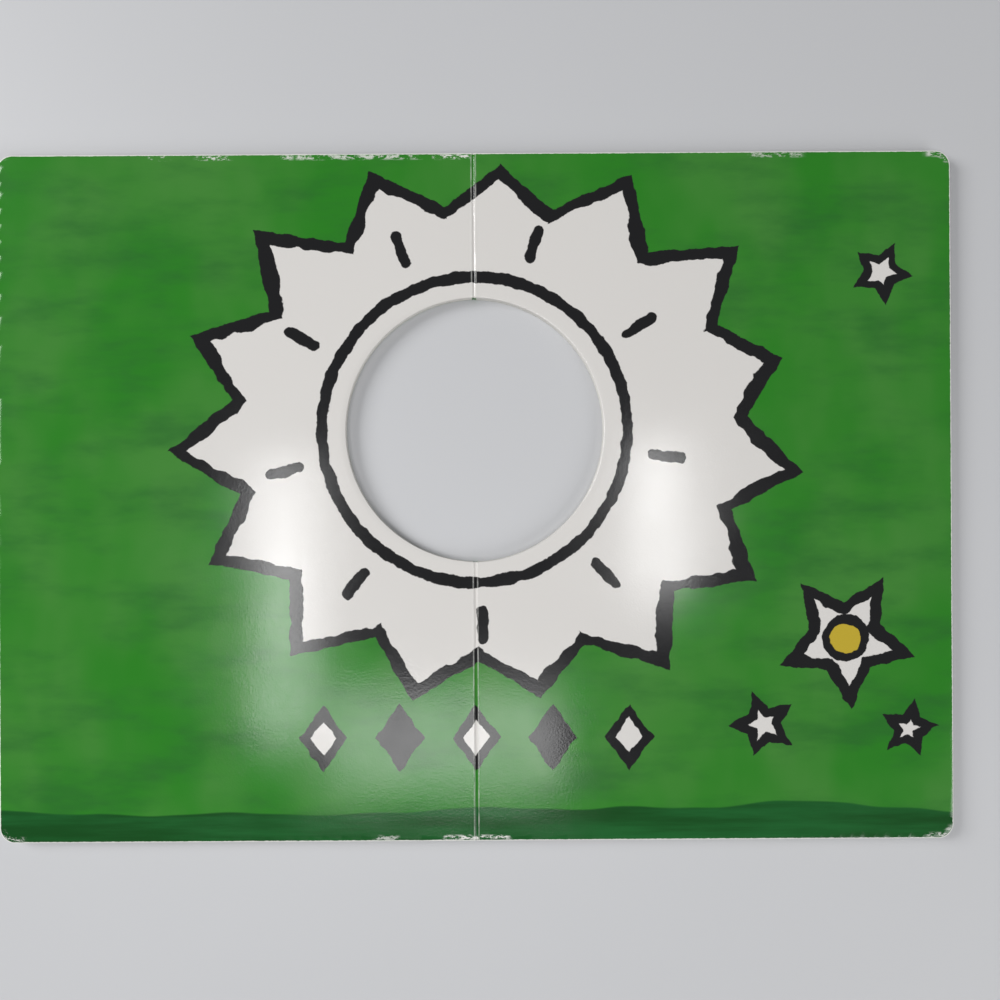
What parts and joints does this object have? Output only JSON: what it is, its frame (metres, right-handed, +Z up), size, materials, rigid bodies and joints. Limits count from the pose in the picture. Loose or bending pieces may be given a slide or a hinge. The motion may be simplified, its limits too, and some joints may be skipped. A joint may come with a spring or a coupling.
{
  "type": "board book",
  "caption": "Large board book lying open at its middle spread, with a round face hole cut through both halves at the spine.",
  "frame": {"origin": "under the middle of the gutter, on the surface that the open book lies on", "axes": "+X from the gutter to the right-hand fore-edge, +Y to the head of the page, +Z up out of the open spread"},
  "size_m": [0.4126, 0.297, 0.0054],
  "materials": {
    "cover_board": "gloss film over printed board, white cut edges",
    "page_board": "gloss film over printed board, white cut edges"
  },
  "bodies": {
    "back_half": {"back_cover": "cover_board", "right_pages": "page_board"},
    "front_half": {"front_cover": "cover_board", "left_pages": "page_board"}
  },
  "joints": [
    {"name": "cover_hinge", "type": "hinge", "parent": "back_half", "child": "front_half", "pos_m": [0, 0, 0.00542], "axis": [0, 1, 0], "range_deg": [0, 180]}
  ]
}
